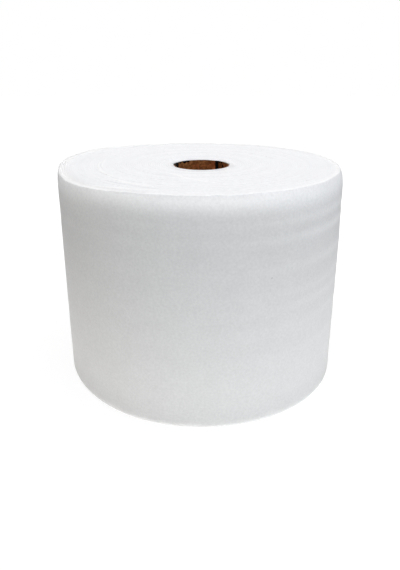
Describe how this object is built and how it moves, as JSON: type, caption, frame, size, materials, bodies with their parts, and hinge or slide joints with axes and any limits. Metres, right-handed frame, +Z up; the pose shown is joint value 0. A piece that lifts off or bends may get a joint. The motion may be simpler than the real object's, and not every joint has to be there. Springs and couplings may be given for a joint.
{
  "type": "foam wrap roll",
  "caption": "Upright roll of thin white cushioning foam sheet wound on a brown paperboard core with an open round bore.",
  "frame": {"origin": "on the core's axis, on the plane that the roll stands on", "axes": "+Z up the core's axis, out of the end where the core stops short of the foam; the sheet's free end is on the far side, 120 degrees counter-clockwise from +X, and -Y is the front"},
  "size_m": [0.4056, 0.4034, 0.3048],
  "materials": {
    "white_foam": "closed-cell polyethylene foam sheet, matt and slightly translucent, with a fine cell texture",
    "kraft_paperboard": "spirally wound kraft paperboard, unprinted and unvarnished"
  },
  "bodies": {
    "root": {"foam_roll": "white_foam", "core_tube": "kraft_paperboard"}
  },
  "joints": []
}
